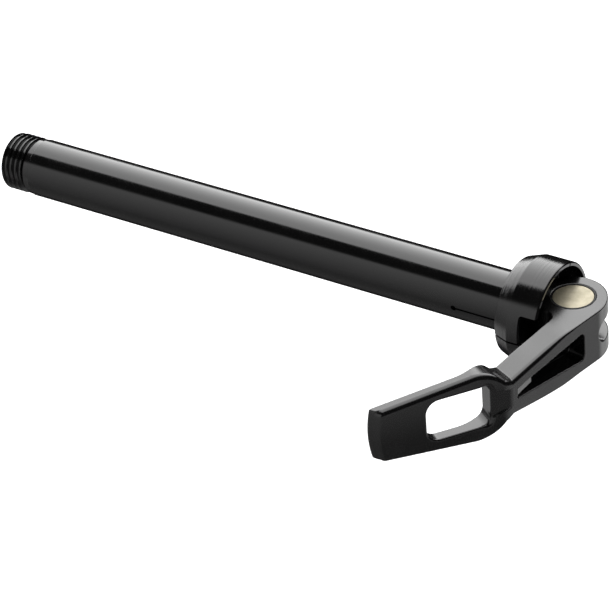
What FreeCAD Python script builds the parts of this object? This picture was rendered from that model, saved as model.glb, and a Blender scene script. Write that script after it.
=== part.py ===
import FreeCAD, Part
import math
import os
from FreeCAD import Vector

os.makedirs("parts", exist_ok=True)

# Frame: the axle's axis is X and the origin is the middle of the flange's back face.
# +X points out of the wheel towards the lever, +Z is up and along the lever's pin,
# and the closed lever's arm points to -Y. Sizes are in millimetres.

# How far a cutting shape runs past what it cuts
overrun = 1.0

# Axle tube
axle_length = 150.0
tube_radius = 7.5
bore_radius = 5.6
thread_major_radius = 7.4
thread_length = 6.8
relief_radius = 6.7
relief_length = 1.0
relief_ramp = 0.35
tube_lead_in_length = 1.2
tube_lead_in_depth = 0.5
tip_chamfer = 0.6
bore_chamfer = 0.5

# Flange and lever cup
flange_back_radius = 12.05
flange_radius = 13.4
flange_cone_length = 3.9
flange_shoulder_round = 2.5
flange_back_chamfer = 0.3
cup_depth = 7.3
cup_wall = 1.05
cup_floor_thickness = 4.0
cup_floor_chamfer = 0.5
rim_chamfer = 0.4
notch_width = 14.6
notch_depth = 4.5
notch_corner_round = 0.8

# Saw cuts that split the lever end into three jaws
axle_turn = 6.54
slit_count = 3
slit_width = 0.5
keyhole_radius = 0.7
keyhole_distance = 14.0

# Expander
wedge_length = 7.0
wedge_end_radius = 5.45
wedge_nose_radius = 4.4
wedge_edge = 0.4
wedge_clearance = 0.06
spring_room = 5.2
spring_wire = 0.7
spring_turns = 3.25
spring_wire_sides = 6
spring_end_clearance = 0.05
spring_wall_clearance = 0.25

# Draw bolt and washer
bolt_radius = 2.5
bolt_head_radius = 4.0
bolt_head_length = 3.5
bolt_head_chamfer = 0.4
bolt_tip_recess = 0.2
bolt_tip_chamfer = 0.4
bolt_key_across_flats = 2.5
bolt_key_depth = 3.0
bolt_running_clearance = 0.08
bolt_hole_clearance = 0.5
washer_radius = 4.6
washer_thickness = 0.8

# Thrust washer
thrust_washer_radius = 10.4
thrust_washer_thickness = 1.6
thrust_washer_edge = 0.3

# Barrel pin and its liners
pin_radius = 5.0
pin_recess = 0.1
pin_edge = 0.15
pin_clearance = 0.03
liner_wall = 0.38

# Lever head and cam
head_half_height = 6.82
slot_half_width = 2.65
slot_nested_angle = -2.0
lever_swing = 140.0
cam_throw = 1.0
cam_low = 8.15
cam_clearance = 0.08
cam_back_radius = 8.0
cam_points = 12
rim_relief_radius = 3.0

# Lever arm, given from the pin's axis
arm_lean = 10.3
arm_face = 8.78
arm_thickness = 6.91
arm_taper_start = 26.0
arm_taper_slope = 0.159
neck_round = 2.0
pocket_start = 7.4
pocket_end = 29.8
pocket_depth = 4.9
pocket_plate = 3.0
pocket_far_plate = 1.9
pocket_corner_round = 0.8
pocket_ramp = 5.0

# Paddle, given from the foot of the pin's axis on its front face
paddle_lean = 35.4
paddle_face = 22.8
paddle_thickness = 3.35
paddle_length = 61.6
paddle_half_width = 7.5
paddle_taper_slope = 0.095
paddle_width_station = 49.4
paddle_tip_round = 2.9
paddle_tip_back_round = 0.45
bend_round = 6.0
paddle_root_round = 12.0
shoulder_slope = 0.89
shoulder_round = 7.0
neck_station = 26.45
neck_half_height = 4.1
window_start = 31.8
window_end = 48.4
window_half_width = 5.8
window_corner_round = 2.6
scoop_depth = 0.7
scoop_start = 23.6
scoop_tip_half_width = 1.6
scoop_end_half_width = 4.2
scoop_overrun = 1.0
arm_edge_chamfer = 0.25
paddle_edge_round = 0.8
edge_round_station = 24.0

# Places along the axle that follow from the sizes above
shoulder_x = 0.0
tip_x = shoulder_x - axle_length
cup_floor_x = shoulder_x + cup_floor_thickness
rim_x = cup_floor_x + cup_depth
cup_radius = flange_radius - cup_wall
thrust_face_x = cup_floor_x + thrust_washer_thickness
cam_high = cam_low + cam_throw
pin_x = thrust_face_x + cam_clearance + cam_high
notch_floor_x = rim_x - notch_depth
spring_seat_x = shoulder_x - 1.0
wedge_nose_x = spring_seat_x - spring_room
wedge_back_x = wedge_nose_x - wedge_length
bolt_bearing_x = wedge_back_x - washer_thickness
bolt_tip_x = pin_x + pin_radius - bolt_tip_recess
bolt_hole_radius = bolt_radius + bolt_hole_clearance
wedge_slope = (wedge_end_radius - wedge_nose_radius) / wedge_length

# Radians per degree of lever swing give the cam's rise per radian
cam_rate = cam_throw / math.radians(lever_swing)


def polar(angle, radius=1.0):
    """Point in the XY plane at an angle in degrees from +X, at Z = 0."""
    turn = math.radians(angle)
    return Vector(radius * math.cos(turn), radius * math.sin(turn), 0)


def meet(line_a, line_b):
    """Where two lines of the XY plane cross; each line is its unit normal and distance."""
    (normal_a, distance_a), (normal_b, distance_b) = line_a, line_b
    cross = normal_a.x * normal_b.y - normal_a.y * normal_b.x
    x = (distance_a * normal_b.y - distance_b * normal_a.y) / cross
    y = (normal_a.x * distance_b - normal_b.x * distance_a) / cross
    return Vector(x, y, 0)


def rounded(corners, closed=True):
    """Edges through a list of (point, radius), with an arc tangent to both runs at each radius."""
    count = len(corners)
    joints = []
    for i, (point, radius) in enumerate(corners):
        if radius == 0 or (not closed and i in (0, count - 1)):
            joints.append((point, None, point))
            continue
        before = (corners[i - 1][0] - point).normalize()
        after = (corners[(i + 1) % count][0] - point).normalize()
        half = before.getAngle(after) / 2
        reach = radius / math.tan(half)
        middle = (before + after).normalize()
        centre = point + middle * (radius / math.sin(half))
        joints.append((point + before * reach, centre - middle * radius, point + after * reach))
    edges = []
    for i, (start, through, end) in enumerate(joints):
        if through is not None:
            edges.append(Part.Arc(start, through, end).toShape())
        if closed or i < count - 1:
            following = joints[(i + 1) % count][0]
            if (following - end).Length > 1e-6:
                edges.append(Part.LineSegment(end, following).toShape())
    return edges


def face_of(edges):
    return Part.Face(Part.Wire(edges))


def turned(profile):
    """Solid of revolution about the axle's axis from (x, radius, corner round) points."""
    corners = [(Vector(x, radius, 0), corner) for x, radius, corner in profile]
    return face_of(rounded(corners)).revolve(Vector(0, 0, 0), Vector(1, 0, 0), 360)


def along_x(radius, start, end):
    return Part.makeCylinder(radius, end - start, Vector(start, 0, 0), Vector(1, 0, 0))


def hexagon_along_x(across_flats, start, end):
    radius = across_flats / math.sqrt(3)
    corners = [Vector(start, radius * math.cos(i * math.pi / 3), radius * math.sin(i * math.pi / 3))
               for i in range(6)]
    return Part.Face(Part.makePolygon(corners + corners[:1])).extrude(Vector(end - start, 0, 0))


def turn_about_axle(shape, angle):
    shape.rotate(Vector(0, 0, 0), Vector(1, 0, 0), angle)
    return shape


def write(name, shape):
    shape = shape.removeSplitter()
    solids = shape.Solids
    box = shape.BoundBox
    print(f"{name}: {len(solids)} solid, valid {shape.isValid()}, volume {shape.Volume:.1f}, "
          f"size {box.XLength:.2f} x {box.YLength:.2f} x {box.ZLength:.2f}")
    solids[0].exportStep(f"parts/{name}.step")


def axle_tube():
    """Tube, thread blank, split flange and cup, turned from one bar."""
    thread_end_x = tip_x + thread_length
    relief_end_x = thread_end_x + relief_length
    taper_radius = wedge_nose_radius + wedge_clearance
    taper_end_radius = bore_radius
    taper_end_x = wedge_nose_x - (taper_end_radius - taper_radius) / wedge_slope
    profile = [
        (tip_x, bore_radius + bore_chamfer, 0),
        (tip_x, thread_major_radius - tip_chamfer, 0),
        (tip_x + tip_chamfer, thread_major_radius, 0),
        (thread_end_x, thread_major_radius, 0),
        (thread_end_x + relief_ramp, relief_radius, 0),
        (relief_end_x, relief_radius, 0),
        (relief_end_x, tube_radius - tube_lead_in_depth, 0),
        (relief_end_x + tube_lead_in_length, tube_radius, 0),
        (shoulder_x, tube_radius, 0),
        (shoulder_x, flange_back_radius - flange_back_chamfer, 0),
        (shoulder_x + flange_back_chamfer, flange_back_radius, 0),
        (shoulder_x + flange_cone_length, flange_radius, flange_shoulder_round),
        (rim_x - rim_chamfer, flange_radius, 0),
        (rim_x, flange_radius - rim_chamfer, 0),
        (rim_x, cup_radius, 0),
        (cup_floor_x + cup_floor_chamfer, cup_radius, 0),
        (cup_floor_x, cup_radius - cup_floor_chamfer, 0),
        (cup_floor_x, bolt_hole_radius, 0),
        (spring_seat_x, bolt_hole_radius, 0),
        (spring_seat_x, taper_radius, 0),
        (wedge_nose_x, taper_radius, 0),
        (taper_end_x, taper_end_radius, 0),
        (tip_x + bore_chamfer, bore_radius, 0),
    ]
    body = turned(profile)
    reach = flange_radius + overrun
    slit = Part.makeBox(rim_x + overrun + keyhole_distance, reach, slit_width,
                        Vector(-keyhole_distance, 0, -slit_width / 2))
    keyhole = Part.makeCylinder(keyhole_radius, reach, Vector(-keyhole_distance, 0, 0), Vector(0, 1, 0))
    saw_cut = slit.fuse(keyhole)
    outline = [
        (Vector(notch_floor_x, 0, -notch_width / 2), notch_corner_round),
        (Vector(notch_floor_x, 0, notch_width / 2), notch_corner_round),
        (Vector(rim_x + overrun, 0, notch_width / 2), 0),
        (Vector(rim_x + overrun, 0, -notch_width / 2), 0),
    ]
    notch = face_of(rounded(outline)).extrude(Vector(0, reach, 0))
    body = body.cut(turn_about_axle(notch, 180 + axle_turn))
    for i in range(slit_count):
        body = body.cut(turn_about_axle(saw_cut.copy(), 180 + axle_turn + i * 360 / slit_count))
    return body


def expander_wedge():
    """Hollow cone, wide end inboard, a clearance inside the tube's taper."""
    hole = bolt_radius + bolt_running_clearance
    return turned([
        (wedge_back_x, hole, 0),
        (wedge_back_x, wedge_end_radius - wedge_edge, 0),
        (wedge_back_x + wedge_edge, wedge_end_radius - wedge_slope * wedge_edge, 0),
        (wedge_nose_x - wedge_edge, wedge_nose_radius + wedge_slope * wedge_edge, 0),
        (wedge_nose_x, wedge_nose_radius - wedge_edge, 0),
        (wedge_nose_x, hole, 0),
    ])


def bolt_washer():
    hole = bolt_radius + bolt_running_clearance
    return along_x(washer_radius, bolt_bearing_x, wedge_back_x).cut(
        along_x(hole, bolt_bearing_x, wedge_back_x))


def draw_bolt():
    """Head inboard, shank through wedge, washer and pin, key hex in the lever end."""
    head_x = bolt_bearing_x - bolt_head_length
    body = turned([
        (head_x, 0, 0),
        (head_x, bolt_head_radius - bolt_head_chamfer, 0),
        (head_x + bolt_head_chamfer, bolt_head_radius, 0),
        (bolt_bearing_x, bolt_head_radius, 0),
        (bolt_bearing_x, bolt_radius, 0),
        (bolt_tip_x - bolt_tip_chamfer, bolt_radius, 0),
        (bolt_tip_x, bolt_radius - bolt_tip_chamfer, 0),
        (bolt_tip_x, 0, 0),
    ])
    key = hexagon_along_x(bolt_key_across_flats, bolt_tip_x - bolt_key_depth, bolt_tip_x + overrun)
    return body.cut(key)


def release_spring():
    """Coil between the tube's inner seat and the wedge's nose; the round wire is drawn with flats."""
    wire_radius = spring_wire / 2
    coil_radius = wedge_nose_radius + wedge_clearance - spring_wall_clearance - wire_radius
    start_x = wedge_nose_x + spring_end_clearance + wire_radius
    end_x = spring_seat_x - spring_end_clearance - wire_radius
    pitch = (end_x - start_x) / spring_turns
    helix = Part.makeHelix(pitch, end_x - start_x, coil_radius)
    helix.rotate(Vector(0, 0, 0), Vector(0, 1, 0), 90)
    helix.translate(Vector(start_x, 0, 0))
    path = Part.Wire(helix.Edges)
    first = path.Edges[0]
    start = first.valueAt(first.FirstParameter)
    heading = first.tangentAt(first.FirstParameter)
    outward = Vector(0, start.y, start.z).normalize()
    across = heading.cross(outward)
    corners = []
    for i in range(spring_wire_sides):
        turn = 2 * math.pi * (i + 0.5) / spring_wire_sides
        aside = outward * math.cos(turn) + across * math.sin(turn)
        corners.append(start + aside * wire_radius)
    section = Part.makePolygon(corners + corners[:1])
    return path.makePipeShell([section], True, True)


def thrust_washer():
    """Disc on the cup's floor that the two cam ears press on."""
    return turned([
        (cup_floor_x, bolt_hole_radius, 0),
        (cup_floor_x, thrust_washer_radius, 0),
        (thrust_face_x - thrust_washer_edge, thrust_washer_radius, 0),
        (thrust_face_x, thrust_washer_radius - thrust_washer_edge, 0),
        (thrust_face_x, bolt_hole_radius, 0),
    ])


def barrel_pin():
    """Brass cross pin between the ears, bored across for the bolt."""
    half = head_half_height - pin_recess
    body = Part.makeCylinder(pin_radius, 2 * half, Vector(pin_x, 0, -half))
    ends = [edge for edge in body.Edges if abs(abs(edge.CenterOfMass.z) - half) < 1e-6]
    body = body.makeChamfer(pin_edge, ends)
    hole = bolt_radius + bolt_running_clearance
    return body.cut(along_x(hole, pin_x - pin_radius - overrun, pin_x + pin_radius + overrun))


def pin_liner(side):
    """Thin sleeve pressed in one ear; the pin turns in it."""
    inner = pin_radius + pin_clearance
    low, high = slot_half_width, head_half_height
    base = Vector(pin_x, 0, low if side > 0 else -high)
    outer = Part.makeCylinder(inner + liner_wall, high - low, base)
    return outer.cut(Part.makeCylinder(inner, high - low, base))


def lever_plan():
    """Plan outline of the lever about the pin's axis, seen from above."""
    cam_end = 180.0 - lever_swing
    arm_line = (polar(-arm_lean), arm_face)
    inner_line = (polar(-arm_lean), arm_face - arm_thickness)
    front_line = (polar(-paddle_lean), paddle_face)
    back_line = (polar(-paddle_lean), paddle_face - paddle_thickness)
    along = polar(-paddle_lean - 90)
    along_arm = polar(-arm_lean - 90)

    # The cam's distance from the pin grows evenly with the angle, as on an involute,
    # so the flat thrust washer is pushed by the same amount for each degree of swing.
    cam = []
    for i in range(cam_points + 1):
        angle = cam_end + lever_swing * i / cam_points
        height = cam_low + cam_rate * math.radians(angle - cam_end)
        cam.append(polar(angle, height) + polar(angle + 90, cam_rate))
    curve = Part.BSplineCurve()
    curve.interpolate(Points=cam, InitialTangent=polar(cam_end + 90), FinalTangent=polar(270), Scale=False)

    # Front arc: tangent to the cam's low end and to the arm's front face
    turn = math.radians(cam_end + arm_lean)
    gap = arm_face - cam_low * math.cos(turn) + cam_rate * math.sin(turn)
    front_radius = gap / (1 - math.cos(turn))
    centre = polar(cam_end, cam_low - front_radius) + polar(cam_end + 90, cam_rate)
    front_start = centre + polar(-arm_lean, front_radius)
    front_through = centre + polar((cam_end - arm_lean) / 2, front_radius)

    # Back arc, then a hollow that clears the cup's rim, then the arm's inner face
    high_point = cam[-1]
    back_centre = high_point + Vector(cam_back_radius, 0, 0)
    offset = arm_face - arm_thickness - rim_relief_radius
    foot = polar(-arm_lean, offset) - back_centre
    reach = cam_back_radius + rim_relief_radius
    b = foot.dot(along_arm)
    step = -b + math.sqrt(b * b - foot.dot(foot) + reach * reach)
    relief_centre = polar(-arm_lean, offset) + along_arm * step
    back_end = back_centre + (relief_centre - back_centre).normalize() * cam_back_radius
    relief_end = relief_centre + polar(-arm_lean, rim_relief_radius)
    back_middle = (high_point - back_centre) + (back_end - back_centre)
    back_through = back_centre + back_middle.normalize() * cam_back_radius
    relief_middle = (back_end - relief_centre) + (relief_end - relief_centre)
    relief_through = relief_centre + relief_middle.normalize() * rim_relief_radius

    tip_front = polar(-paddle_lean, paddle_face) + along * paddle_length
    tip_back = tip_front - polar(-paddle_lean, paddle_thickness)
    limb = rounded([
        (relief_end, 0),
        (meet(inner_line, back_line), paddle_root_round),
        (tip_back, paddle_tip_back_round),
        (tip_front, paddle_tip_round),
        (meet(arm_line, front_line), bend_round),
        (front_start, 0),
    ], closed=False)
    edges = [
        curve.toShape(),
        Part.Arc(high_point, back_through, back_end).toShape(),
        Part.Arc(back_end, relief_through, relief_end).toShape(),
    ]
    edges += limb
    edges.append(Part.Arc(front_start, front_through, cam[0]).toShape())
    return edges


def paddle_frame(shape):
    """Carry a shape drawn in (distance from the pin's foot, depth, height) to the paddle."""
    placed = shape.copy()
    placed.Placement = FreeCAD.Placement(
        Vector(0, 0, 0), FreeCAD.Rotation(Vector(0, 0, 1), -90 - paddle_lean)).multiply(placed.Placement)
    return placed


def arm_frame(shape):
    placed = shape.copy()
    placed.Placement = FreeCAD.Placement(
        Vector(0, 0, 0), FreeCAD.Rotation(Vector(0, 0, 1), -90 - arm_lean)).multiply(placed.Placement)
    return placed


def lever_side():
    """Outline of the lever seen square to the paddle: head, tapered arm, neck, paddle."""
    behind = -2 * cam_high
    taper_start = neck_station - (head_half_height - neck_half_height) / arm_taper_slope
    half_width_at_neck = paddle_half_width + paddle_taper_slope * (paddle_width_station - neck_station)
    shoulder_rise = half_width_at_neck - neck_half_height
    shoulder_station = neck_station + shoulder_rise / (shoulder_slope + paddle_taper_slope)
    shoulder_height = neck_half_height + shoulder_slope * (shoulder_station - neck_station)
    beyond = paddle_length + paddle_tip_round
    end_height = paddle_half_width - paddle_taper_slope * (beyond - paddle_width_station)
    upper = [
        (behind, head_half_height, 0),
        (taper_start, head_half_height, arm_taper_start),
        (neck_station, neck_half_height, neck_round),
        (shoulder_station, shoulder_height, shoulder_round),
        (beyond, end_height, 0),
    ]
    corners = upper + [(s, -z, corner) for s, z, corner in reversed(upper)]
    outline = rounded([(Vector(s, 0, z), corner) for s, z, corner in corners])
    reach = paddle_length
    slab = face_of(outline)
    slab.translate(Vector(0, -reach, 0))
    return paddle_frame(slab.extrude(Vector(0, 2 * reach, 0)))


def rim_edges(body):
    """Edges where the upright walls of the lever's blank meet its top or bottom, but for the parting."""
    chosen = []
    for edge in body.Edges:
        middle = edge.valueAt((edge.FirstParameter + edge.LastParameter) / 2)
        if abs(middle.dot(polar(-90 - paddle_lean)) - edge_round_station) < 1e-6:
            continue
        walls = 0
        for face in body.ancestorsOfType(edge, Part.Face):
            u, v = face.Surface.parameter(middle)
            walls += abs(face.normalAt(u, v).z) < 1e-6
        if walls == 1:
            chosen.append(edge)
    return chosen


def lever_blank():
    """Outside form of the forging: edges just broken on head and arm, well rounded on the paddle."""
    height = 2 * paddle_half_width
    plan = face_of(lever_plan())
    plan.translate(Vector(0, 0, -height))
    blank = plan.extrude(Vector(0, 0, 2 * height)).common(lever_side())
    reach = 2 * paddle_length
    room = Part.makeBox(reach, 2 * reach, 2 * reach, Vector(edge_round_station, -reach, -reach))
    outer = blank.common(paddle_frame(room)).removeSplitter().Solids[0]
    inner = blank.cut(paddle_frame(room)).removeSplitter().Solids[0]
    outer = outer.makeFillet(paddle_edge_round, rim_edges(outer))
    inner = inner.makeChamfer(arm_edge_chamfer, rim_edges(inner))
    return inner.fuse(outer).removeSplitter()


def lever():
    """Forged lever: cam ears, slot, pocketed arm, neck and windowed paddle."""
    height = 2 * paddle_half_width
    body = lever_blank()

    window = [
        (Vector(window_start, 0, -window_half_width), window_corner_round),
        (Vector(window_start, 0, window_half_width), window_corner_round),
        (Vector(window_end, 0, window_half_width), window_corner_round),
        (Vector(window_end, 0, -window_half_width), window_corner_round),
    ]
    body = body.cut(paddle_frame(face_of(rounded(window)).extrude(Vector(0, 2 * paddle_face, 0))))

    near = head_half_height - pocket_plate
    taper = arm_taper_slope * (pocket_end - pocket_start)
    far = head_half_height - taper - pocket_far_plate
    pocket = [
        (Vector(pocket_start, 0, -near), pocket_corner_round),
        (Vector(pocket_start, 0, near), pocket_corner_round),
        (Vector(pocket_end, 0, far), pocket_corner_round),
        (Vector(pocket_end, 0, -far), pocket_corner_round),
    ]
    prism = face_of(rounded(pocket)).extrude(Vector(0, 2 * arm_face, 0))
    floor = arm_face - pocket_depth
    section = [
        (Vector(pocket_start - overrun, floor, 0), 0),
        (Vector(pocket_end - pocket_ramp, floor, 0), pocket_ramp),
        (Vector(pocket_end, arm_face, 0), 0),
        (Vector(pocket_end, 2 * arm_face, 0), 0),
        (Vector(pocket_start - overrun, 2 * arm_face, 0), 0),
    ]
    room = face_of(rounded(section))
    room.translate(Vector(0, 0, -head_half_height))
    room = room.extrude(Vector(0, 0, 2 * head_half_height))
    body = body.cut(arm_frame(prism.common(room)))

    scoop = [
        (Vector(scoop_start, 0, -scoop_tip_half_width), 0),
        (Vector(scoop_start, 0, scoop_tip_half_width), 0),
        (Vector(window_start + scoop_overrun, 0, scoop_end_half_width), 0),
        (Vector(window_start + scoop_overrun, 0, -scoop_end_half_width), 0),
    ]
    shallow = face_of(rounded(scoop))
    shallow.translate(Vector(0, paddle_face - scoop_depth, 0))
    body = body.cut(paddle_frame(shallow.extrude(Vector(0, paddle_face, 0))))

    bore = pin_radius + pin_clearance + liner_wall
    body = body.cut(Part.makeCylinder(bore, 2 * height, Vector(0, 0, -height)))
    reach = 2 * arm_face
    half_slot = Part.Face(Part.makePolygon([
        Vector(0, 0, -slot_half_width), Vector(reach, 0, -slot_half_width),
        Vector(reach, 0, slot_half_width), Vector(0, 0, slot_half_width),
        Vector(0, 0, -slot_half_width)]))
    half_slot.rotate(Vector(0, 0, 0), Vector(0, 0, 1), slot_nested_angle)
    swept = half_slot.revolve(Vector(0, 0, 0), Vector(0, 0, 1), 180 - slot_nested_angle)
    body = body.cut(swept)
    for angle in (slot_nested_angle, 180):
        body = body.cut(Part.makeCylinder(slot_half_width, reach, Vector(0, 0, 0), polar(angle)))
    body.translate(Vector(pin_x, 0, 0))
    return body


write("axle_tube", axle_tube())
write("expander_wedge", expander_wedge())
write("draw_bolt", draw_bolt())
write("bolt_washer", bolt_washer())
write("release_spring", release_spring())
write("thrust_washer", thrust_washer())
write("barrel_pin", barrel_pin())
write("upper_pin_liner", pin_liner(1))
write("lower_pin_liner", pin_liner(-1))
write("lever", lever())
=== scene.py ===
import math

import bpy
import numpy as np
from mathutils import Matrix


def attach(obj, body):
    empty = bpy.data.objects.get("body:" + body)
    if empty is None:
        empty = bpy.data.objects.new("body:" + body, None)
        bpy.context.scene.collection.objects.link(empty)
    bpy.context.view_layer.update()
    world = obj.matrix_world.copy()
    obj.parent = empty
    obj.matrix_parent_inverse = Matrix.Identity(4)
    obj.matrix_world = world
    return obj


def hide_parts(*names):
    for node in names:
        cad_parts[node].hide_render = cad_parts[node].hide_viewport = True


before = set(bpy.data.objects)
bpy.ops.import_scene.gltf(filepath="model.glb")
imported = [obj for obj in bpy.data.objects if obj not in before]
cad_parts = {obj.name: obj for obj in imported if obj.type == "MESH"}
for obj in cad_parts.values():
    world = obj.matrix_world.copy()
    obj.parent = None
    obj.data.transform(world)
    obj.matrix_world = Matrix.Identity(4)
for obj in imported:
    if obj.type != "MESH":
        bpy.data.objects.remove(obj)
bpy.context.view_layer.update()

# Camera. It looks down on the lever's front from beyond the lever end of the axle, with a long lens,
# and leans a few degrees to its left. Its place and turn were fitted to the tube, flange and lever.
camera_place = (0.325525, -0.551238, 0.425701)
camera_tilt, camera_roll, camera_heading = 56.4832, 3.7770, 32.6232
sensor_width, focal_length = 36.0, 188.728
nearest_seen, farthest_seen = 0.05, 20.0

camera_lens = bpy.data.cameras.new("camera")
camera_lens.sensor_width = sensor_width
camera_lens.lens = focal_length
camera_lens.clip_start = nearest_seen
camera_lens.clip_end = farthest_seen
camera = bpy.data.objects.new("camera", camera_lens)
bpy.context.scene.collection.objects.link(camera)
bpy.context.scene.camera = camera
camera.location = camera_place
camera.rotation_euler = [math.radians(degrees) for degrees in (camera_tilt, camera_roll, camera_heading)]
bpy.context.scene.view_settings.view_transform = "Standard"

# Studio. A white table below all that the turning lever reaches, a wide bright cloth overhead that grows
# brighter to the back and ends at the right, a dim wall in front, and the dark gap between the two that draws
# the black line along the tube. The metal shows the table bright behind and at the left, and dim in front.
table_height, table_half_width, table_white, table_glow = -0.064, 0.6, 0.86, 0.8
gap_from, gap_to = 39.0, 80.5
wall_foot_glow, wall_gain, wall_foot, wall_height = 0.095, 0.31, 50.0, 80.0
cloth_glow, cloth_gain, cloth_edge, cloth_edge_width, cloth_edge_early = 1.4, 1.75, 165.0, 7.0, 12.0
right_glow, right_least, right_most = 0.67, 0.03, 0.22
behind_glow, far_glow, far_fade, left_glow, room_glow = 0.33, 0.7, 0.4, 0.45, 0.02
backdrop_radius, backdrop_columns, backdrop_rows, backdrop_foot, backdrop_glow = 4.0, 48, 20, -0.5, 1.2


class Wire:
    """A shader output. Sums, products and powers of wires and numbers add the Math nodes that make them."""

    def __init__(self, finish, socket):
        self.finish = finish
        self.socket = socket

    def maths(self, operation, *values):
        return self.finish.node("ShaderNodeMath", {"operation": operation}, dict(enumerate(values)))

    def __add__(self, other):
        return self.maths("ADD", self, other)

    def __radd__(self, other):
        return self.maths("ADD", other, self)

    def __sub__(self, other):
        return self.maths("SUBTRACT", self, other)

    def __rsub__(self, other):
        return self.maths("SUBTRACT", other, self)

    def __mul__(self, other):
        return self.maths("MULTIPLY", self, other)

    def __rmul__(self, other):
        return self.maths("MULTIPLY", other, self)

    def __truediv__(self, other):
        return self.maths("DIVIDE", self, other)

    def __pow__(self, other):
        return self.maths("POWER", self, other)

    def rise(self, low, high):
        """0 below low, 1 above high, and an even S-curve between."""
        return self.finish.node("ShaderNodeMapRange", {"interpolation_type": "SMOOTHSTEP"},
                                {"Value": self, "From Min": low, "From Max": high})

    def clip(self, low, high):
        return self.maths("MINIMUM", self.maths("MAXIMUM", self, low), high)


class Finish:
    """The nodes of one material or of the studio's light."""

    def __init__(self, tree):
        self.tree = tree
        tree.nodes.clear()

    def node(self, kind, settings, inputs, output=0):
        """A new node of a type, with its settings first, then the values or links of its sockets."""
        made = self.tree.nodes.new(kind)
        for key, value in settings.items():
            setattr(made, key, value)
        for key, value in inputs.items():
            if isinstance(value, Wire):
                self.tree.links.new(value.socket, made.inputs[key])
            else:
                made.inputs[key].default_value = value
        return Wire(self, made.outputs[output])

    def parts(self, vector):
        """The X, Y and Z of a vector."""
        x = self.node("ShaderNodeSeparateXYZ", {}, {"Vector": vector})
        outputs = x.socket.node.outputs
        return x, Wire(self, outputs[1]), Wire(self, outputs[2])

    def close(self, kind, surface):
        """The output node that the shader ends in."""
        self.tree.links.new(surface.socket, self.tree.nodes.new(kind).inputs["Surface"])


studio = bpy.data.worlds.new("studio")
studio.use_nodes = True
bpy.context.scene.world = studio
light = Finish(studio.node_tree)
across, toward_back, upward = light.parts(light.node("ShaderNodeTexCoord", {}, {}, "Generated"))
# Angle round the axle's direction: 0 at the front horizon, 90 overhead, 180 at the back horizon
around = light.node("ShaderNodeMath", {"operation": "ARCTAN2"}, {0: upward, 1: 0.0 - toward_back})
turn = around * (180.0 / math.pi)
below, leftward = 0.0 - upward, 0.0 - across
# Each rise or clip below gives the directions between which a patch of light begins and is full
right = across.rise(0.45, 0.7)
wall = wall_foot_glow + wall_gain * ((turn + wall_foot) / wall_height).clip(0.0, 1.0)
wall = wall * (1.0 - turn.rise(gap_from - 5.0, gap_from + 4.0)) * turn.rise(-115.0, -85.0) * (1.0 - right)
dim_right = (right_glow + upward).clip(right_least, right_most) * below.rise(0.2, 0.35)
dim_right = dim_right * (1.0 - toward_back.rise(-0.05, 0.2)) * right
edge_from = cloth_edge - cloth_edge_early * across.rise(-0.42, -0.36)
past_cloth = turn.rise(edge_from, edge_from + cloth_edge_width) * (1.0 - leftward.rise(0.6, 0.75))
overhead = turn.rise(gap_to - 1.5, gap_to + 1.5) * (1.0 - past_cloth)
overhead = overhead * (cloth_glow + cloth_gain * turn.rise(90.0, 175.0)) * (1.0 - across.rise(0.3, 0.6))
table_behind = behind_glow * toward_back.rise(-0.1, 0.3) * below.rise(0.3, 0.45)
table_behind = table_behind * (1.0 - leftward.rise(0.0, 0.3))
table_far = far_glow * toward_back.rise(0.52, 0.68) * below.rise(0.38, 0.5)
table_far = table_far * (1.0 - far_fade * toward_back.rise(0.72, 0.8)) * (1.0 - leftward.rise(0.15, 0.45))
table_left = left_glow * leftward.rise(0.6, 0.75) * below.rise(0.3, 0.5)
glow = wall + dim_right + overhead + table_behind + table_far + table_left + room_glow
background = light.node("ShaderNodeBackground", {}, {"Color": (1.0, 1.0, 1.0, 1.0), "Strength": glow})
light.close("ShaderNodeOutputWorld", background)

table_mesh = bpy.data.meshes.new("table")
near, far = -table_half_width, table_half_width
corners = [(x, y, table_height) for x, y in ((near, near), (far, near), (far, far), (near, far))]
table_mesh.from_pydata(corners, [], [(0, 1, 2, 3)])
table = bpy.data.objects.new("table", table_mesh)
bpy.context.scene.collection.objects.link(table)
table.visible_glossy = False
table_paint = bpy.data.materials.new("white_table")
table_paint.use_nodes = True
paint = Finish(table_paint.node_tree)
white = (1.0, 1.0, 1.0, 1.0)
lit = paint.node("ShaderNodeBsdfDiffuse", {}, {"Color": (table_white, table_white, table_white, 1.0)})
glow_under = paint.node("ShaderNodeEmission", {}, {"Color": white, "Strength": table_glow})
paint.close("ShaderNodeOutputMaterial", paint.node("ShaderNodeAddShader", {}, {0: lit, 1: glow_under}))
table_mesh.materials.append(table_paint)

backdrop_mesh = bpy.data.meshes.new("backdrop")
ring = np.linspace(0.0, 2.0 * math.pi, backdrop_columns + 1)[:-1]
rows = np.linspace(backdrop_foot, 0.5 * math.pi, backdrop_rows)
points = np.stack([np.outer(np.cos(rows), np.cos(ring)), np.outer(np.cos(rows), np.sin(ring)),
                   np.outer(np.sin(rows), np.ones_like(ring))], -1).reshape(-1, 3) * backdrop_radius
i, j = np.meshgrid(np.arange(len(rows) - 1), np.arange(len(ring)), indexing="ij")
low_row, high_row, beside = i * len(ring), (i + 1) * len(ring), (j + 1) % len(ring)
quads = np.stack([low_row + j, high_row + j, high_row + beside, low_row + beside], -1).reshape(-1, 4)
backdrop_mesh.from_pydata(points.tolist(), [], quads.tolist())
backdrop = bpy.data.objects.new("backdrop", backdrop_mesh)
bpy.context.scene.collection.objects.link(backdrop)
for rays in ("diffuse", "glossy", "transmission", "volume_scatter", "shadow"):
    setattr(backdrop, "visible_" + rays, False)
backdrop_paint = bpy.data.materials.new("white_backdrop")
backdrop_paint.use_nodes = True
glowing = Finish(backdrop_paint.node_tree)
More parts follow.
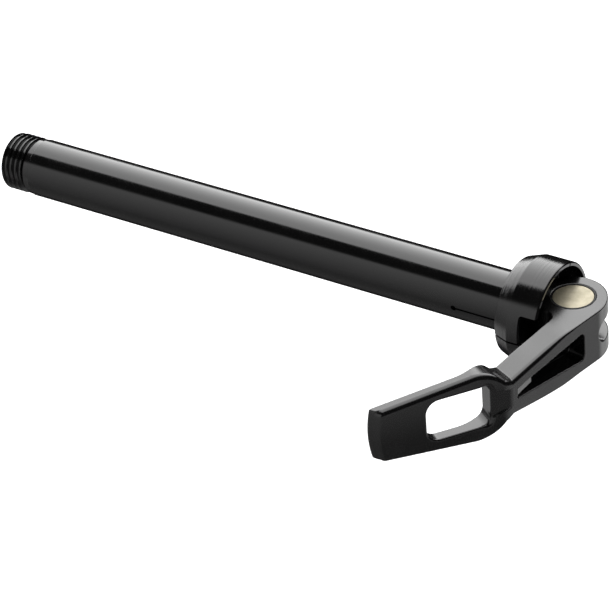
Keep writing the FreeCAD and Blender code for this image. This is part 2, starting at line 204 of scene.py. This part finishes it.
glowing.close("ShaderNodeOutputMaterial",
              glowing.node("ShaderNodeEmission", {}, {"Color": white, "Strength": backdrop_glow}))
backdrop_mesh.materials.append(backdrop_paint)

# Axle tube. One bar of aluminium, turned to a tube with a 1.5 mm thread and its relief at the far end and
# a conical flange with a cup at the lever end. A notch in the cup's wall takes the lever when it nests,
# and three saw cuts, each ending in a keyhole, let the end spread. Polished, then anodised black.
tip_x, thread_end_x, relief_end_x = -150.3, -144.1, -143.2
tube_radius, bore_radius, relief_radius, relief_step = 7.5, 5.6, 6.7, 0.05
land_radius, land_end_x, land_lead = 7.36, -141.8, 0.12
thread_radius, thread_pitch, thread_depth, first_crest_x, crest_half_flat = 7.45, 1.5, 0.78, -149.2, 0.06
crest_blend, root_blend, thread_columns, thread_step = 0.004, 0.01, 288, 0.06
thread_runout, runout_slope, tip_cone_depth, tip_cone_slope = 0.36, 2.0, 0.15, 1.4
flange_back_radius, flange_radius, flange_cone = 12.05, 13.4, 3.9
fine_round, relief_round, back_round, cone_round, floor_round, hole_round = 0.05, 0.04, 0.35, 0.3, 0.5, 0.1
rim_chamfer, rim_round, rim_inner_round, lip_round, bore_chamfer = 0.3, 0.35, 0.2, 0.12, 0.5
cup_floor_x, rim_x, cup_radius = 4.0, 11.3, 12.35
bolt_hole_radius, spring_seat_x, taper_radius, wedge_nose_x, taper_end_x = 3.0, -1.0, 4.46, -6.2, -13.8
notch_width, notch_floor_x, notch_corner = 14.6, 6.8, 0.8
axle_turn, slit_width, keyhole_radius, keyhole_x = 6.54, 0.5, 0.7, -14.0
overrun, cutter_length, arc_step, crease_angle, millimetre = 1.0, 16.0, 0.12, 35.0, 0.001


def rounded_runs(corners, closed=False):
    """Straight runs joined by arcs, from (x, y, radius) corners. An arc is tangent to the two runs at its
    corner: it leaves them at radius / tan(half their angle) and its centre is at radius / sin(half)."""
    places = [np.array(corner[:2], float) for corner in corners]
    runs, start = [], None
    for i, corner in enumerate(places):
        radius = corners[i][2]
        if radius == 0.0 or (not closed and i in (0, len(places) - 1)):
            arrive, leave, arc = corner, corner, None
        else:
            before, after = places[i - 1] - corner, places[(i + 1) % len(places)] - corner
            before, after = before / np.hypot(*before), after / np.hypot(*after)
            half = math.acos(np.clip(before @ after, -1.0, 1.0)) / 2.0
            centre = corner + (before + after) / np.hypot(*(before + after)) * (radius / math.sin(half))
            arrive = corner + before * (radius / math.tan(half))
            leave = corner + after * (radius / math.tan(half))
            first, last = arrive - centre, leave - centre
            sweep = math.atan2(first[0] * last[1] - first[1] * last[0], first @ last)
            arc = ("arc", centre, radius, math.atan2(first[1], first[0]), sweep)
        if start is not None and np.hypot(*(arrive - start)) > 1e-7:
            runs.append(("line", start, arrive))
        if arc:
            runs.append(arc)
        first_arrive = arrive if i == 0 else first_arrive
        start = leave
    if closed:
        runs.append(("line", start, first_arrive))
    return runs


def points_on(runs, step=arc_step):
    """Points along the runs: the ends of each line, and an arc's at equal angles of about step radians."""
    points = []
    for run in runs:
        if run[0] == "line":
            points += [run[1][None], run[2][None]]
        else:
            _, centre, radius, begin, sweep = run
            turn = begin + np.linspace(0.0, sweep, 2 + int(abs(sweep) / step))
            points.append(centre + radius * np.stack([np.cos(turn), np.sin(turn)], 1))
    points = np.concatenate(points)
    keep = np.hypot(*(points - np.roll(points, 1, 0)).T) > 1e-6
    return points[keep]


def piece_from(name, points, faces):
    """A mesh object from points in millimetres and its faces, smooth but for its sharp edges."""
    mesh = bpy.data.meshes.new(name)
    corners = faces if isinstance(faces, list) else faces.tolist()
    mesh.from_pydata(np.asarray(points) * millimetre, [], corners)
    mesh.polygons.foreach_set("use_smooth", np.ones(len(mesh.polygons), bool))
    mesh.set_sharp_from_angle(angle=math.radians(crease_angle))
    piece = bpy.data.objects.new(name, mesh)
    bpy.context.scene.collection.objects.link(piece)
    return piece


def closed_net(rows, columns):
    """Faces of a grid of points that closes on itself both ways."""
    i, j = np.meshgrid(np.arange(rows), np.arange(columns), indexing="ij")
    down, right = (i + 1) % rows, (j + 1) % columns
    corners = [i * columns + j, i * columns + right, down * columns + right, down * columns + j]
    return np.stack(corners, -1).reshape(-1, 4)


def bar_outward(name, outline, degrees):
    """A prism from the axle outwards: its (x, width) outline runs along +Y, then turns round X."""
    count = len(outline)
    ends = [np.stack([outline[:, 0], np.full(count, y), outline[:, 1]], 1) for y in (0.0, cutter_length)]
    x, y, z = np.concatenate(ends).T
    c, s = math.cos(math.radians(degrees)), math.sin(math.radians(degrees))
    k = np.arange(count)
    walls = np.stack([k, (k + 1) % count, count + (k + 1) % count, count + k], 1).tolist()
    return piece_from(name, np.stack([x, y * c - z * s, y * s + z * c], 1),
                      walls + [k[::-1].tolist(), (k + count).tolist()])


def thread_profile(x, angle):
    """Radius of the thread: distance from the nearest crest of a right-hand helix gives flat crests, then
    60 degree flanks, then roots, with both corners eased by square-root blends."""
    lead = (x - first_crest_x) / thread_pitch - angle / (2.0 * math.pi)
    from_crest = np.abs(lead - np.round(lead)) * thread_pitch
    fall = (from_crest - crest_half_flat) * math.sqrt(3.0)
    fall = 0.5 * (fall + np.sqrt(fall * fall + crest_blend))
    left = thread_depth - fall
    return thread_radius - np.maximum(thread_depth - 0.5 * (left + np.sqrt(left * left + root_blend)), 0.0)


turned_profile = rounded_runs([
    (relief_end_x, relief_radius, 0), (relief_end_x, land_radius - relief_step, relief_round),
    (land_end_x, land_radius, fine_round), (land_end_x + land_lead, tube_radius, fine_round),
    (0.0, tube_radius, fine_round), (0.0, flange_back_radius, back_round),
    (flange_cone, flange_radius, cone_round),
    (rim_x - rim_chamfer, flange_radius, rim_round), (rim_x, flange_radius - rim_chamfer, rim_inner_round),
    (rim_x, cup_radius, lip_round), (cup_floor_x, cup_radius, floor_round),
    (cup_floor_x, bolt_hole_radius, hole_round),
    (spring_seat_x, bolt_hole_radius, 0), (spring_seat_x, taper_radius, 0), (wedge_nose_x, taper_radius, 0),
    (taper_end_x, bore_radius, 0), (tip_x + bore_chamfer, bore_radius, 0),
    (tip_x, bore_radius + bore_chamfer, 0)])
angle = np.linspace(0.0, 2.0 * math.pi, thread_columns + 1)[:-1]
thread_x = np.arange(tip_x, thread_end_x + thread_runout, thread_step)[:, None]
tip_cone = thread_radius - tip_cone_depth + tip_cone_slope * (thread_x - tip_x)
runout = relief_radius + runout_slope * np.maximum(thread_end_x + thread_runout - thread_x, 0.0)
thread = np.minimum(np.minimum(thread_profile(thread_x, angle), tip_cone), runout)
turned_x, turned_radius = points_on(turned_profile)[:, :1], points_on(turned_profile)[:, 1:]
x = np.concatenate([thread_x, turned_x]) + 0.0 * angle
radius = np.concatenate([thread, turned_radius + 0.0 * angle])
surface = np.stack([x, radius * np.cos(angle), radius * np.sin(angle)], -1).reshape(-1, 3)
axle_tube = piece_from("threaded_axle_tube", surface, closed_net(*x.shape))

# Cuts through the wall: the notch, on the side where the closed lever lies, and the three saw cuts
notch = rounded_runs([
    (notch_floor_x, -notch_width / 2, notch_corner), (notch_floor_x, notch_width / 2, notch_corner),
    (rim_x + overrun, notch_width / 2, 0), (rim_x + overrun, -notch_width / 2, 0)], closed=True)
drilled = [("arc", np.array([keyhole_x, 0.0]), keyhole_radius, 0.0, -2.0 * math.pi)]
sawn = rounded_runs([
    (keyhole_x, -slit_width / 2, 0), (keyhole_x, slit_width / 2, 0),
    (rim_x + overrun, slit_width / 2, 0), (rim_x + overrun, -slit_width / 2, 0)], closed=True)
cuts = [("notch", notch, 0.0)] + [(name, outline, spoke) for spoke in (0.0, 120.0, 240.0)
                                  for name, outline in (("keyhole", drilled), ("saw_cut", sawn))]
for cut_name, outline, spoke in cuts:
    cutter = bar_outward(cut_name, points_on(outline), 180.0 + axle_turn + spoke)
    cut = axle_tube.modifiers.new(cut_name, "BOOLEAN")
    cut.object, cut.solver, cut.operation = cutter, "EXACT", "DIFFERENCE"
    shaped = axle_tube.evaluated_get(bpy.context.evaluated_depsgraph_get())
    axle_tube.data = bpy.data.meshes.new_from_object(shaped)
    axle_tube.modifiers.clear()
    bpy.data.objects.remove(cutter)
axle_tube.data.polygons.foreach_set("use_smooth", np.ones(len(axle_tube.data.polygons), bool))
axle_tube.data.set_sharp_from_angle(angle=math.radians(crease_angle))


def noise(finish, place, scale, detail, roughness=0.5):
    """Even noise through space, scale times a metre."""
    return finish.node("ShaderNodeTexNoise", {}, {"Vector": place, "Scale": scale, "Detail": detail,
                                                  "Roughness": roughness})


def tool_rings(finish, along, per_metre, detail):
    """Noise that varies along one measure alone, and so draws rings."""
    return finish.node("ShaderNodeTexNoise", {"noise_dimensions": "1D"},
                       {"W": along * per_metre, "Scale": 1.0, "Detail": detail})


def between(finish, share, first, second):
    """The first colour turning into the second as share grows."""
    return finish.node("ShaderNodeMix", {"data_type": "RGBA"},
                       {"Factor": share, 6: (*first, 1.0), 7: (*second, 1.0)}, 2)


def black_anodise(name, turned, polish):
    """Dyed oxide on aluminium: nearly black and glossy, with soft patches of handling. A turned piece has
    tool rings round the axle, polished away on the tube and left on the flange, where they streak the
    reflections. A forged one is blasted before it is dyed, so its gloss is a little softer."""
    material = bpy.data.materials.new(name)
    material.use_nodes = True
    coat = Finish(material.node_tree)
    place = coat.node("ShaderNodeTexCoord", {}, {}, "Object")
    patches = noise(coat, place, 90.0, 4.0, 0.55)
    specks = noise(coat, place, 2600.0, 2.0)
    gloss = polish + 0.04 * patches.rise(0.42, 0.68) + 0.015 * specks
    tint = between(coat, patches, (0.0015, 0.0015, 0.0017), (0.0032, 0.003, 0.003))
    if turned:
        along, _, _ = coat.parts(place)
        rings = tool_rings(coat, along, 9000.0, 2.0) + 2.0 * tool_rings(coat, along, 1800.0, 1.0)
        relief = (0.05 + 1.6 * along.rise(-0.001, 0.0)) * rings
    else:
        relief = 0.6 * patches
    grain = coat.node("ShaderNodeBump", {}, {"Height": relief, "Strength": 0.3, "Distance": 0.00004})
    shader = coat.node("ShaderNodeBsdfPrincipled", {}, {"Base Color": tint, "Roughness": gloss, "IOR": 2.0,
                                                        "Normal": grain})
    coat.close("ShaderNodeOutputMaterial", shader)
    return material


axle_tube.data.materials.clear()
axle_tube.data.materials.append(black_anodise("turned_black_anodise", turned=True, polish=0.11))
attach(axle_tube, "axle")
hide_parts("axle_tube")

# Lever. One aluminium forging, machined at the head: two cam ears with the bolt's slot between them, a
# pocketed arm, a narrow neck with a thumb scoop, and a flat windowed paddle with well rounded edges.
# The flash is polished off and the whole is anodised black. Sizes are from the pin's axis.
pin_x = 14.83
head_half, slot_half, slot_nested, swing = 6.82, 2.65, -2.0, 140.0
cam_low, cam_rise, cam_back_radius, rim_relief = 8.15, 1.0, 8.0, 3.0
arm_lean, arm_face, arm_thickness, arm_taper_arc, arm_taper = 10.3, 8.78, 6.91, 26.0, 0.144
pocket_start, pocket_end, pocket_depth, pocket_wall, pocket_far_wall = 6.9, 31.3, 4.9, 3.0, 2.0
pocket_corner, pocket_end_round, pocket_floor_round, pocket_ramp = 1.5, 0.4, 0.5, 2.5
ledge_length, ledge_fall, ledge_foot, ledge_dip = 5.5, 0.15, -0.3, 1.5
paddle_lean, paddle_face, paddle_thickness, paddle_length = 35.4, 22.8, 3.35, 61.9
paddle_half, paddle_taper, paddle_width_at, bend_round, root_round = 7.5, 0.095, 49.4, 6.0, 12.0
tip_round, tip_slant, tip_back_round, tip_bow, bow_from = 1.0, 2.1, 0.45, 28.0, 50.0
front_crown, crown_from, crown_full = 90.0, 26.0, 31.0
neck_at, neck_half, neck_round, neck_skew, skew_centre = 26.5, 4.35, 0.15, 0.164, 18.3
skew_from, skew_full, skew_fades, skew_ends = 16.0, 22.0, 29.0, 35.0
knee_at, knee_half, knee_round, shoulder_slope, shoulder_round = 28.7, 5.3, 1.0, 0.98, 7.5
window_start, window_end, window_half, neck_corner, tip_corner = 31.9, 48.05, 5.4, 2.0, 3.3
scoop_start, scoop_depth, scoop_tip, scoop_end, scoop_overrun = 23.6, 0.7, 1.6, 4.2, 1.0
bore_of_ears = 5.41
arm_band, arm_band_full, paddle_band, paddle_band_full = 3.5, 3.1, 1.75, 1.45
edge_grows_from, edge_full = 3.0, 17.0
head_edge, upper_edge, lower_edge, lower_reach, back_edge, bore_edge = 0.28, 1.2, 0.5, 0.6, 0.35, 0.2
window_edge, window_lip, lip_run, pocket_edge, slot_edge, scoop_edge = 0.45, 1.3, 3.0, 0.15, 0.3, 0.25
outline_overrun, head_reach = 5.0, -20.0
net_low, net_high, grid_step = (-21.0, -65.2, -10.1), (10.4, 9.6, 9.6), 0.27
least_steepness, slope_probe, passes = 0.25, 0.002, 3


def heading(degrees, length=1.0):
    """The point at a distance from the pin's axis, at an angle from +X."""
    return length * np.array([math.cos(math.radians(degrees)), math.sin(math.radians(degrees))])


def crossing(first, second):
    """Where two lines cross, each given as its normal's angle and its distance from the pin's axis."""
    return np.linalg.solve([heading(first[0]), heading(second[0])], [first[1], second[1]])


def signed_distance(runs, x, y):
    """Distance to a walk with no corners, above 0 on its right-hand side. A line counts where the foot of
    the point falls between its ends, and an arc where the point lies within its sweep."""
    best = np.full(x.shape, 1e3)
    for run in runs:
        if run[0] == "line":
            span = run[2] - run[1]
            length = np.hypot(*span)
            foot = ((x - run[1][0]) * span[0] + (y - run[1][1]) * span[1]) / length
            away = ((x - run[1][0]) * span[1] - (y - run[1][1]) * span[0]) / length
            within = (foot > -1e-6) & (foot < length + 1e-6)
        else:
            _, centre, radius, begin, sweep = run
            side = math.copysign(1.0, sweep)
            from_begin = side * (np.arctan2(y - centre[1], x - centre[0]) - begin)
            within = np.mod(from_begin + 1e-7, 2.0 * math.pi) < abs(sweep) + 2e-7
            away = side * (np.hypot(x - centre[0], y - centre[1]) - radius)
        best = np.where(within & (np.abs(away) < np.abs(best)), away, best)
    return best


def cam_distance(x, y, best):
    """Distance to the cam, an involute: the normal at each angle is a radius turned aside by the rise per
    radian, and the cam's height grows evenly with that angle. It counts over the lever's swing."""
    rate = cam_rise / math.radians(swing)
    reach = np.maximum(np.hypot(x, y), 1.0)
    angle = np.mod(np.arctan2(y, x) - np.arcsin(rate / reach), 2.0 * math.pi)
    low = math.radians(180.0 - swing)
    away = x * np.cos(angle) + y * np.sin(angle) - cam_low - rate * (angle - low)
    return np.where((angle > low) & (angle < math.pi) & (np.abs(away) < np.abs(best)), away, best)


def eased(a, b, radius):
    """The larger of two distances, with the edge where they meet rounded to a quarter circle."""
    corner = np.hypot(np.maximum(a + radius, 0.0), np.maximum(b + radius, 0.0))
    return corner + np.minimum(np.maximum(a, b), -radius)


# The plan: front arc and arm from the cam's low end to the bend and paddle, back along the inside
cam_end = 180.0 - swing
cam_rate = cam_rise / math.radians(swing)
cam_start = heading(cam_end, cam_low) + heading(cam_end + 90.0, cam_rate)
turn = math.radians(cam_end + arm_lean)
front_radius = (arm_face - cam_low * math.cos(turn) + cam_rate * math.sin(turn)) / (1.0 - math.cos(turn))
front_centre = cam_start - heading(cam_end, front_radius)
cam_top = heading(180.0, cam_low + cam_rise) + heading(270.0, cam_rate)
back_centre = cam_top + np.array([cam_back_radius, 0.0])
inner_face = arm_face - arm_thickness
foot = heading(-arm_lean, inner_face - rim_relief) - back_centre
along_arm = heading(-arm_lean - 90.0)
aside = foot @ along_arm
relief_run = -aside + math.sqrt(aside ** 2 - foot @ foot + (cam_back_radius + rim_relief) ** 2)
relief_centre = heading(-arm_lean, inner_face - rim_relief) + along_arm * relief_run
to_relief = relief_centre - back_centre
back_sweep = math.atan2(to_relief[1], to_relief[0]) % (2.0 * math.pi) - math.pi
relief_begin = math.atan2(-to_relief[1], -to_relief[0])
relief_sweep = math.radians(-arm_lean) - relief_begin
along_paddle = heading(-paddle_lean - 90.0)
paddle_tip = heading(-paddle_lean, paddle_face) + along_paddle * paddle_length
limb = rounded_runs([
    tuple(relief_centre + heading(-arm_lean, rim_relief)) + (0,),
    tuple(crossing((-arm_lean, inner_face), (-paddle_lean, paddle_face - paddle_thickness))) + (root_round,),
    tuple(paddle_tip - heading(-paddle_lean, paddle_thickness)) + (tip_back_round,),
    tuple(paddle_tip - tip_slant * along_paddle) + (tip_round,),
    tuple(crossing((-arm_lean, arm_face), (-paddle_lean, paddle_face))) + (bend_round,),
    tuple(front_centre + heading(-arm_lean, front_radius)) + (0,)])
plan_runs = [("arc", back_centre, cam_back_radius, math.pi, back_sweep),
             ("arc", relief_centre, rim_relief, relief_begin, relief_sweep)] + limb + [
             ("arc", front_centre, front_radius, math.radians(-arm_lean), turn)]

# The outline seen square to the paddle, upper half only, from the tip back to the head
taper_at = neck_at - (head_half - neck_half) / arm_taper
shoulder_rise = paddle_half + paddle_taper * (paddle_width_at - knee_at) - knee_half
shoulder_at = knee_at + shoulder_rise / (shoulder_slope + paddle_taper)
beyond = paddle_length + outline_overrun
side_runs = rounded_runs([
    (beyond, paddle_half - paddle_taper * (beyond - paddle_width_at), 0),
    (shoulder_at, knee_half + shoulder_slope * (shoulder_at - knee_at), shoulder_round),
    (knee_at, knee_half, knee_round), (neck_at, neck_half, neck_round),
    (taper_at, head_half, arm_taper_arc), (head_reach, head_half, 0)])


def smooth(value, low, high):
    """0 below low, 1 above high, and an even S-curve between."""
    share = np.clip((value - low) / (high - low), 0.0, 1.0)
    return share * share * (3.0 - 2.0 * share)


def forging(x, y, z):
    """Distance to the lever's surface, below 0 inside: plan and side outlines with their edges eased, less
    the window, the arm's pocket, the thumb scoop, the pin's bore and the bolt's slot. The paddle's front
    is crowned and its tip bowed by arcs across its width, and the neck's crease is askew."""
    height = np.abs(z)
    s, t = x * along_paddle[0] + y * along_paddle[1], x * -along_paddle[1] + y * along_paddle[0]
    sa, ta = x * along_arm[0] + y * along_arm[1], x * -along_arm[1] + y * along_arm[0]
    paddle_front = smooth(t, paddle_face - paddle_band, paddle_face - paddle_band_full)
    front = np.maximum(smooth(ta, arm_face - arm_band, arm_face - arm_band_full), paddle_front)
    bow = z * z / (2.0 * tip_bow) * (s > bow_from)
    crown = z * z / (2.0 * front_crown) * paddle_front * smooth(s, crown_from, crown_full)
    bowed_x = x + bow * along_paddle[0] - crown * along_paddle[1]
    bowed_y = y + bow * along_paddle[1] + crown * along_paddle[0]
    plan = cam_distance(bowed_x, bowed_y, signed_distance(plan_runs, bowed_x, bowed_y))
    at_neck = smooth(s, skew_from, skew_full) * (1.0 - smooth(s, skew_fades, skew_ends))
    askew = neck_skew * (t - skew_centre) * at_neck
    onward = smooth(s, edge_grows_from, edge_full)
    side = signed_distance(side_runs, s + askew, height - np.where(z < 0.0, lower_reach, 0.0) * onward)
    edge = head_edge + (np.where(z < 0.0, lower_edge, upper_edge) - head_edge) * onward
    edge = front * edge + (1.0 - front) * back_edge
    body = eased(plan, side, edge)

    # The window, with tighter corners at the neck and a wide lip there
    half_run = (window_end - window_start) / 2.0
    corner = np.where(s < window_start + half_run, neck_corner, tip_corner)
    a = np.abs(s - window_start - half_run) - half_run + corner
    b = height - window_half + corner
    window = np.hypot(np.maximum(a, 0.0), np.maximum(b, 0.0)) + np.minimum(np.maximum(a, b), 0.0) - corner
    widened = front * (1.0 - smooth(s, window_start, window_start + lip_run))
    lip = window_edge + (window_lip - window_edge) * widened
    body = eased(body, -np.maximum(window, -t), lip)

    # The arm's pocket, which narrows with the arm and ends in a ledge
    near = head_half - pocket_wall
    far = head_half - arm_taper * (pocket_end - pocket_start) - pocket_far_wall
    slant = (near - far) / (pocket_end - pocket_start)
    wall = (height - near + slant * (sa - pocket_start)) / math.hypot(1.0, slant)
    plan_of_pocket = eased(eased(pocket_start - sa, wall, pocket_corner), sa - pocket_end, pocket_end_round)
    dip = ledge_dip * np.maximum(ledge_foot - z, 0.0)
    ledge = (arm_face - ta - ledge_fall * (pocket_end - sa) - dip) / math.hypot(1.0, ledge_fall)
    above_floor = ta - arm_face + pocket_depth
    drop = (sa - pocket_end + ledge_length + pocket_ramp) * pocket_depth - above_floor * pocket_ramp
    ramp = np.minimum(ledge, drop / math.hypot(pocket_depth, pocket_ramp))
    pocket = eased(plan_of_pocket, np.maximum(-above_floor, ramp), pocket_floor_round)
    body = eased(body, -pocket, pocket_edge)

    # The thumb scoop, which widens from the pocket to the window
    scoop_finish = window_start + scoop_overrun
    widen = (scoop_end - scoop_tip) / (scoop_finish - scoop_start)
    cheek = (height - scoop_tip - widen * (s - scoop_start)) / math.hypot(1.0, widen)
    ends = np.maximum(scoop_start - s, s - scoop_finish)
    scoop = np.maximum(np.maximum(ends, cheek), paddle_face - scoop_depth - t)
    body = eased(body, -scoop, scoop_edge)

    # The pin's bore, and the slot that leaves the bolt free from nested to open
    body = eased(body, bore_of_ears - np.hypot(x, y), bore_edge)
    nested = heading(slot_nested + 90.0)
    beside = np.minimum(-y, -(x * nested[0] + y * nested[1]))
    return eased(body, slot_half - np.hypot(np.maximum(beside, 0.0), z), slot_edge)


def wrapped(distance, low, high, step):
    """Faces round a solid given by a distance. One point per grid cell that the surface passes through, at
    the mean of its crossings of the cell's edges, then drawn onto the surface along the gradient."""
    axes = [np.arange(a, b + step, step) for a, b in zip(low, high)]
    field = distance(*np.meshgrid(*axes, indexing="ij"))
    shape = np.array(field.shape) - 1
    total, count = np.zeros((*shape, 3)), np.zeros(shape)
    crossings = []
    # Grid edges that cross the surface, and the four cells round each
    for axis in range(3):
        ahead = np.moveaxis(field, axis, 0)
        begin, end = ahead[:-1], ahead[1:]
        changed = (begin < 0.0) != (end < 0.0)
        share = np.where(changed, begin / np.where(changed, begin - end, 1.0), 0.0)
        i, j, k = np.nonzero(np.moveaxis(changed, 0, axis))
        part = np.moveaxis(share, 0, axis)[i, j, k]
        place = np.stack([i, j, k], 1).astype(float)
        place[:, axis] += part
        out = ~np.moveaxis(begin < 0.0, 0, axis)[i, j, k]
        first, second = [other for other in range(3) if other != axis]
        around = []
        for back_first, back_second in ((0, 0), (1, 0), (1, 1), (0, 1)):
            cell = np.stack([i, j, k], 1)
            cell[:, first] -= back_first
            cell[:, second] -= back_second
            np.add.at(total, tuple(cell.T), place)
            np.add.at(count, tuple(cell.T), 1.0)
            around.append(cell)
        crossings.append((axis, np.stack(around, 1), out))
    used = count > 0
    number = np.cumsum(used.ravel()).reshape(used.shape) - 1
    points = total[used] / count[used][:, None] * step + np.array(low)
    faces = []
    # One face for each crossed edge, turned outwards
    for axis, cells, out in crossings:
        quads = number[cells[..., 0], cells[..., 1], cells[..., 2]]
        turned = out if axis != 1 else ~out
        faces.append(np.where(turned[:, None], quads[:, ::-1], quads))
    faces = np.concatenate(faces)
    for _ in range(passes):
        slope = np.stack([distance(*(points + probe).T) - distance(*(points - probe).T)
                          for probe in np.eye(3) * slope_probe], 1) / (2.0 * slope_probe)
        steep = np.maximum((slope * slope).sum(1), least_steepness)
        points = points - np.clip(distance(*points.T) / steep, -0.5 * step, 0.5 * step)[:, None] * slope
    return points, faces, slope / np.sqrt((slope * slope).sum(1))[:, None]


points, faces, normals = wrapped(forging, net_low, net_high, grid_step)
lever = piece_from("forged_lever", points + np.array([pin_x, 0.0, 0.0]), faces)
lever.data.normals_split_custom_set_from_vertices(normals)
lever.data.materials.append(black_anodise("forged_black_anodise", turned=False, polish=0.19))
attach(lever, "lever")
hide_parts("lever")

# Barrel pin. A brass cross pin, faced on a lathe at both ends, that turns in the lever's ears and is bored
# across for the draw bolt. Its two faces show fine rings from the tool, a little tarnished.
brass_pale, brass_dull = (0.50, 0.455, 0.34), (0.38, 0.345, 0.25)


def faced_metal(name, pale, dull, metallic, polish, rings_across, ring_depth):
    """Metal faced on a lathe: rings round the piece's Z axis at x = pin_x, with a blotched tarnish."""
    material = bpy.data.materials.new(name)
    material.use_nodes = True
    metal = Finish(material.node_tree)
    place = metal.node("ShaderNodeTexCoord", {}, {}, "Object")
    x, y, _ = metal.parts(place)
    out = ((x - millimetre * pin_x) ** 2.0 + y ** 2.0) ** 0.5
    rings = tool_rings(metal, out, rings_across, 3.0)
    stain = noise(metal, place, 420.0, 5.0, 0.6)
    tint = between(metal, (stain + 0.35 * rings).rise(0.45, 0.9), pale, dull)
    grain = metal.node("ShaderNodeBump", {}, {"Height": rings, "Strength": ring_depth, "Distance": 0.00003})
    shader = metal.node("ShaderNodeBsdfPrincipled", {}, {"Base Color": tint, "Metallic": metallic,
                                                         "Roughness": polish + 0.08 * stain, "Normal": grain})
    metal.close("ShaderNodeOutputMaterial", shader)
    return material


def dress(node, material):
    """Gives a CAD node its finish."""
    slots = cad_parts[node].data.materials
    slots.clear()
    slots.append(material)


dress("barrel_pin", faced_metal("faced_brass", brass_pale, brass_dull, 0.7, 0.34, 6000.0, 0.35))

# Pin liners. Two thin sleeves of black polymer, pressed in the ears so that the pin doesn't grind them.
# Only their rims show, as a dark ring round each face of the pin.


def plain_finish(name, dark, pale, polish, wear, metallic=0.0, scale=500.0):
    """A plain stock finish: two close tones and a gloss follow the same fine noise, with a faint bump."""
    material = bpy.data.materials.new(name)
    material.use_nodes = True
    stock = Finish(material.node_tree)
    place = stock.node("ShaderNodeTexCoord", {}, {}, "Object")
    spots = noise(stock, place, scale, 5.0, 0.6)
    tint = between(stock, spots.rise(0.35, 0.7), dark, pale)
    grain = stock.node("ShaderNodeBump", {}, {"Height": spots, "Strength": 0.2, "Distance": 0.00004})
    shader = stock.node("ShaderNodeBsdfPrincipled", {}, {"Base Color": tint, "Metallic": metallic,
                                                         "Roughness": polish + wear * spots, "Normal": grain})
    stock.close("ShaderNodeOutputMaterial", shader)
    return material


black_polymer = plain_finish("black_polymer", (0.004, 0.004, 0.004), (0.009, 0.009, 0.009), 0.42, 0.2,
                             scale=900.0)
dress("upper_pin_liner", black_polymer)
dress("lower_pin_liner", black_polymer)

# Thrust washer. A hardened disc at the bottom of the cup that both cam ears press on. It is blackened, and
# greased in use.
blackened_steel = plain_finish("blackened_steel", (0.004, 0.004, 0.0045), (0.012, 0.012, 0.012), 0.3, 0.15,
                               metallic=0.6)
dress("thrust_washer", blackened_steel)

# Draw bolt and its washer. A long plated bolt from the wedge to the barrel pin, whose hex shows in the slot
# between the ears, and the plain washer under its head.
plated_steel = plain_finish("plated_steel", (0.1, 0.1, 0.105), (0.17, 0.17, 0.175), 0.28, 0.2, metallic=1.0)
dress("draw_bolt", plated_steel)
dress("bolt_washer", plated_steel)

# Expander wedge and release spring. The turned steel cone that spreads the three jaws, and the wire coil
# that pushes it back when the lever is opened. Both sit inside the tube.
turned_steel = plain_finish("turned_steel", (0.2, 0.2, 0.21), (0.32, 0.32, 0.33), 0.25, 0.2, metallic=1.0)
spring_wire = plain_finish("spring_wire", (0.22, 0.22, 0.23), (0.3, 0.3, 0.31), 0.22, 0.15, metallic=1.0)
dress("expander_wedge", turned_steel)
dress("release_spring", spring_wire)
